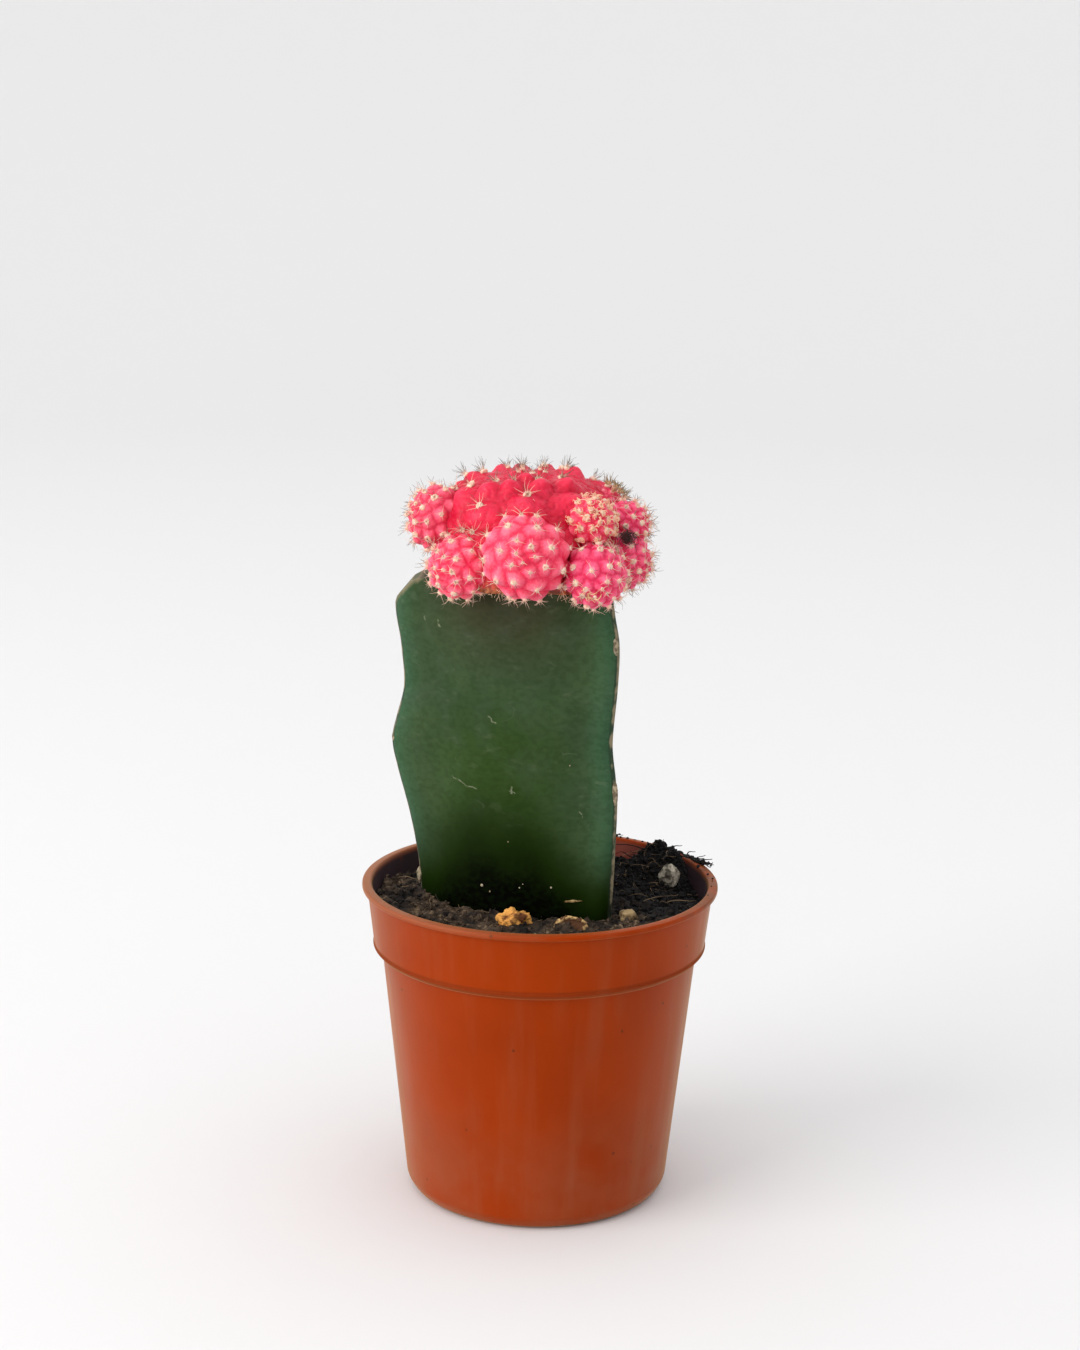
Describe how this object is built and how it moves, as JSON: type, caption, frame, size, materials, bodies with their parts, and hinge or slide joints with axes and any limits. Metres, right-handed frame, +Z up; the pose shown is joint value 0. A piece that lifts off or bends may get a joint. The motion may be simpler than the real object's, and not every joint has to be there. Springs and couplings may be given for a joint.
{
  "type": "potted moon cactus",
  "caption": "Small grafted moon cactus: a pink and coral head with round offsets on a dark green three-angled stem, in peat in a terracotta-coloured plastic nursery pot.",
  "frame": {"origin": "middle of the pot's foot, on the surface it stands on", "axes": "+Z up the stem, -Y towards the front, where the broad face of the stem and the large front offset show"},
  "size_m": [0.055, 0.055, 0.1153],
  "materials": {
    "pot_plastic": "terracotta-coloured injection-moulded plastic, satin",
    "peat": "dark damp peat with fibres and crumbs",
    "stock_skin": "dark green waxy skin with tan scars along the rib edges",
    "mother_skin": "coral red fleshy skin with cream woolly pads and pale spines",
    "offset_skin": "pink fleshy skin with cream woolly pads and pale spines",
    "bark": "dry tan bark, rough",
    "grit": "grey stone, rough"
  },
  "bodies": {
    "root": {"pot": "pot_plastic", "soil": "peat", "rootstock": "stock_skin", "scion_mother": "mother_skin", "offset_front": "offset_skin", "offset_left_low": "offset_skin", "offset_left_high": "offset_skin", "offset_right_low": "offset_skin", "offset_right": "offset_skin", "offset_right_spiny": "offset_skin", "offset_right_high": "offset_skin", "offset_crown": "offset_skin", "offset_back_right": "offset_skin", "offset_back": "offset_skin", "offset_back_left": "offset_skin", "offset_left_back": "offset_skin", "bark_chip_front": "bark", "bark_chip_pale": "bark", "bark_chip_right": "bark", "grit_stone": "grit"}
  },
  "joints": []
}
